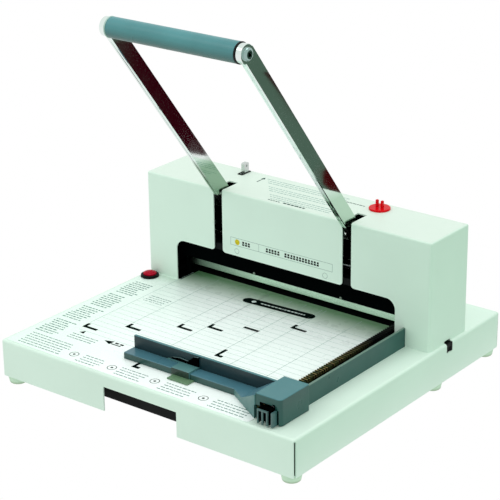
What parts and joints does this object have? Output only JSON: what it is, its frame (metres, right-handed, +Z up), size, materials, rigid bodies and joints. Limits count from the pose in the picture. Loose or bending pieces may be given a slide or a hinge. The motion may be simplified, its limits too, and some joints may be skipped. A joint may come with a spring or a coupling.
{
  "type": "stack paper cutter",
  "caption": "Desktop guillotine cutter for paper stacks: steel base, tall head with blade and clamp, swing-down handle, side fence and sliding depth gauge.",
  "frame": {"origin": "on the floor below the middle of the base", "axes": "+Z up, +Y to the back of the machine, +X to the operator's right"},
  "size_m": [0.407, 0.395, 0.4235],
  "materials": {
    "body_paint": "satin powder coat",
    "bed_print": "printed sheet",
    "black_plastic": "fine texture",
    "blue_grey_plastic": "satin moulded",
    "dark_rack": "moulded",
    "grip_grey": "soft satin",
    "arm_steel": "polished plate",
    "clamp_black": "black oxide",
    "clamp_steel": "ground",
    "blade_steel": "ground edge",
    "frame_steel": "dark coat",
    "dark_steel": "black oxide",
    "bright_steel": "turned",
    "screw_zinc": "zinc plated",
    "spring_steel": "drawn wire",
    "bush_bronze": "sintered",
    "foot_rubber": "moulded",
    "red_plastic": "polished",
    "stick_plastic": "extruded",
    "cell_wrap": "wrapped cells",
    "lead_jacket": "jacket"
  },
  "bodies": {
    "base": {"base_shell": "body_paint", "batteries": "cell_wrap", "battery_box": "black_plastic", "battery_cover": "black_plastic", "bed_beam": "frame_steel", "bed_sheet": "bed_print", "bottom_plate": "body_paint", "fence_rack": "dark_rack", "foot_front_left": "foot_rubber", "foot_front_right": "foot_rubber", "foot_middle_left": "foot_rubber", "foot_middle_right": "foot_rubber", "foot_rear_left": "foot_rubber", "foot_rear_right": "foot_rubber", "foot_screws": "screw_zinc", "frame_screws": "screw_zinc", "front_recess": "black_plastic", "guide_posts": "dark_steel", "head_shell": "body_paint", "light_bar": "black_plastic", "light_lead": "lead_jacket", "lock_bezel": "black_plastic", "rear_cover": "body_paint", "rear_screws": "screw_zinc", "return_springs": "spring_steel", "shaft_bushes": "bush_bronze", "side_fence": "blue_grey_plastic", "side_frame_left": "frame_steel", "side_frame_right": "frame_steel", "switch_bezel": "black_plastic", "tie_bar": "frame_steel"},
    "handle": {"handle_arm_left": "arm_steel", "handle_arm_right": "arm_steel", "handle_rod": "bright_steel", "handle_grip": "grip_grey", "grip_rings": "black_plastic", "handle_caps": "arm_steel", "main_shaft": "dark_steel", "hub_screws": "screw_zinc", "cam_left": "frame_steel", "cam_right": "frame_steel"},
    "blade_unit": {"blade_carrier": "clamp_black", "blade": "blade_steel", "blade_screws": "screw_zinc", "roller_pins": "bright_steel", "clamp_springs": "spring_steel"},
    "rollers": {"cam_rollers": "bright_steel"},
    "clamp_unit": {"clamp_bar": "clamp_black", "clamp_foot": "clamp_steel", "clamp_screws": "screw_zinc"},
    "gauge": {"gauge_bar": "blue_grey_plastic", "gauge_carriage": "blue_grey_plastic"},
    "clip": {"gauge_clip": "blue_grey_plastic"},
    "pinch_lever": {"gauge_lever": "blue_grey_plastic", "gauge_spring": "spring_steel"},
    "switch": {"switch_button": "red_plastic"},
    "lock": {"lock_lever": "bright_steel"},
    "knob": {"clamp_knob": "red_plastic"},
    "stick": {"cutting_stick": "stick_plastic", "stick_pull": "black_plastic"}
  },
  "joints": [
    {"name": "handle_swing", "type": "hinge", "parent": "base", "child": "handle", "pos_m": [0, 0.1025, 0.127], "axis": [1, 0, 0], "range_deg": [0, 50], "stiffness_Nm_per_rad": 1.6, "springref_deg": -108.86},
    {"name": "blade_slide", "type": "slide", "parent": "base", "child": "blade_unit", "axis": [0, 0, -1], "range_m": [0, 0.0188], "deforming": ["return_springs"]},
    {"name": "clamp_lift", "type": "slide", "parent": "blade_unit", "child": "clamp_unit", "axis": [0, 0, 1], "range_m": [0, 0.00365], "deforming": ["clamp_springs"]},
    {"name": "roller_spin", "type": "hinge", "parent": "blade_unit", "child": "rollers", "pos_m": [0, 0.1025, 0.105], "axis": [1, 0, 0], "range_deg": [-170, 0]},
    {"name": "gauge_slide", "type": "slide", "parent": "base", "child": "gauge", "axis": [0, 1, 0], "range_m": [0, 0.186]},
    {"name": "clip_slide", "type": "slide", "parent": "gauge", "child": "clip", "axis": [1, 0, 0], "range_m": [-0.046, 0.052]},
    {"name": "lever_pinch", "type": "slide", "parent": "gauge", "child": "pinch_lever", "axis": [0, 1, 0], "range_m": [0, 0.0035], "stiffness_N_per_m": 600, "springref_m": -0.002},
    {"name": "switch_press", "type": "slide", "parent": "base", "child": "switch", "axis": [0, 0, -1], "range_m": [0, 0.0022], "stiffness_N_per_m": 500, "springref_m": -0.001},
    {"name": "lock_slide", "type": "slide", "parent": "base", "child": "lock", "axis": [0, -1, 0], "range_m": [0, 0.004]},
    {"name": "knob_turn", "type": "hinge", "parent": "base", "child": "knob", "pos_m": [0.096, 0.1085, 0.1813], "axis": [0, 0, 1], "range_deg": [0, 90]},
    {"name": "stick_slide", "type": "slide", "parent": "base", "child": "stick", "axis": [1, 0, 0], "range_m": [0, 0.3]}
  ],
  "couplings": [
    {"joint": "blade_slide", "follows": "handle_swing", "m_per_rad": 0.021543},
    {"joint": "clamp_lift", "follows": "handle_swing", "m_per_rad": 0.0041825},
    {"joint": "roller_spin", "follows": "handle_swing", "ratio": -3.3}
  ]
}
